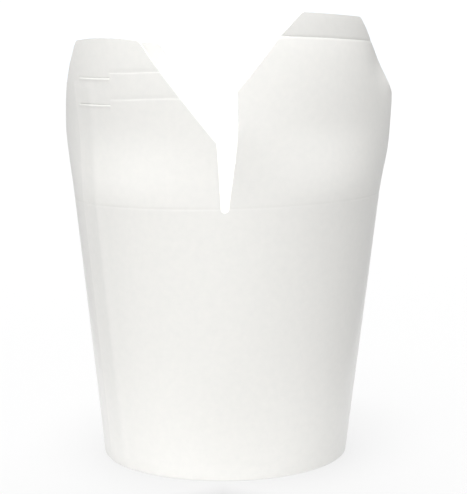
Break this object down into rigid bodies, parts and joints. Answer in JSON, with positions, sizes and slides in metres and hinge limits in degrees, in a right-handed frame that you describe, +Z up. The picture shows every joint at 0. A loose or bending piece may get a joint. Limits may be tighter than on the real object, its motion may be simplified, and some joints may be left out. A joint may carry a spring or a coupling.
{
  "type": "noodle takeaway box",
  "caption": "Round-based paperboard noodle box standing open and empty, with curved lid flaps that fold in along the crease, slot locks and a tongue.",
  "frame": {"origin": "centre of the foot, on the surface that the box stands on", "axes": "+Z up along the axis of the wall; -Y towards the viewer, where the cut between the front flaps is; +X to the right, on the side of the flap with the tongue"},
  "size_m": [0.115, 0.115, 0.1593],
  "materials": {
    "board": "matte white paperboard with a faint sheen",
    "base_board": "white paperboard with a thin plastic lining"
  },
  "bodies": {
    "box": {"wall": "board", "base_disc": "base_board"},
    "front_left_flap": {"flap_front_left": "board"},
    "front_right_flap": {"flap_front_right": "board"},
    "back_left_flap": {"flap_back_left": "board"},
    "back_right_flap": {"flap_back_right": "board"},
    "tongue_tip": {"tongue": "board"}
  },
  "joints": [
    {"name": "front_left_fold", "type": "hinge", "parent": "box", "child": "front_left_flap", "pos_m": [-0.02811, -0.02811, 0.0955], "axis": [-0.7071, 0.7071, 0], "range_deg": [0, 90]},
    {"name": "front_right_fold", "type": "hinge", "parent": "box", "child": "front_right_flap", "pos_m": [0.02811, -0.02811, 0.0955], "axis": [-0.7071, -0.7071, 0], "range_deg": [0, 50]},
    {"name": "back_left_fold", "type": "hinge", "parent": "box", "child": "back_left_flap", "pos_m": [-0.02811, 0.02811, 0.0955], "axis": [0.7071, 0.7071, 0], "range_deg": [0, 50]},
    {"name": "back_right_fold", "type": "hinge", "parent": "box", "child": "back_right_flap", "pos_m": [0.02811, 0.02811, 0.0955], "axis": [0.7071, -0.7071, 0], "range_deg": [0, 84]},
    {"name": "tongue_fold", "type": "hinge", "parent": "front_right_flap", "child": "tongue_tip", "pos_m": [0.03477, -0.03477, 0.1512], "axis": [-0.7071, -0.7071, 0], "range_deg": [0, 90]}
  ]
}
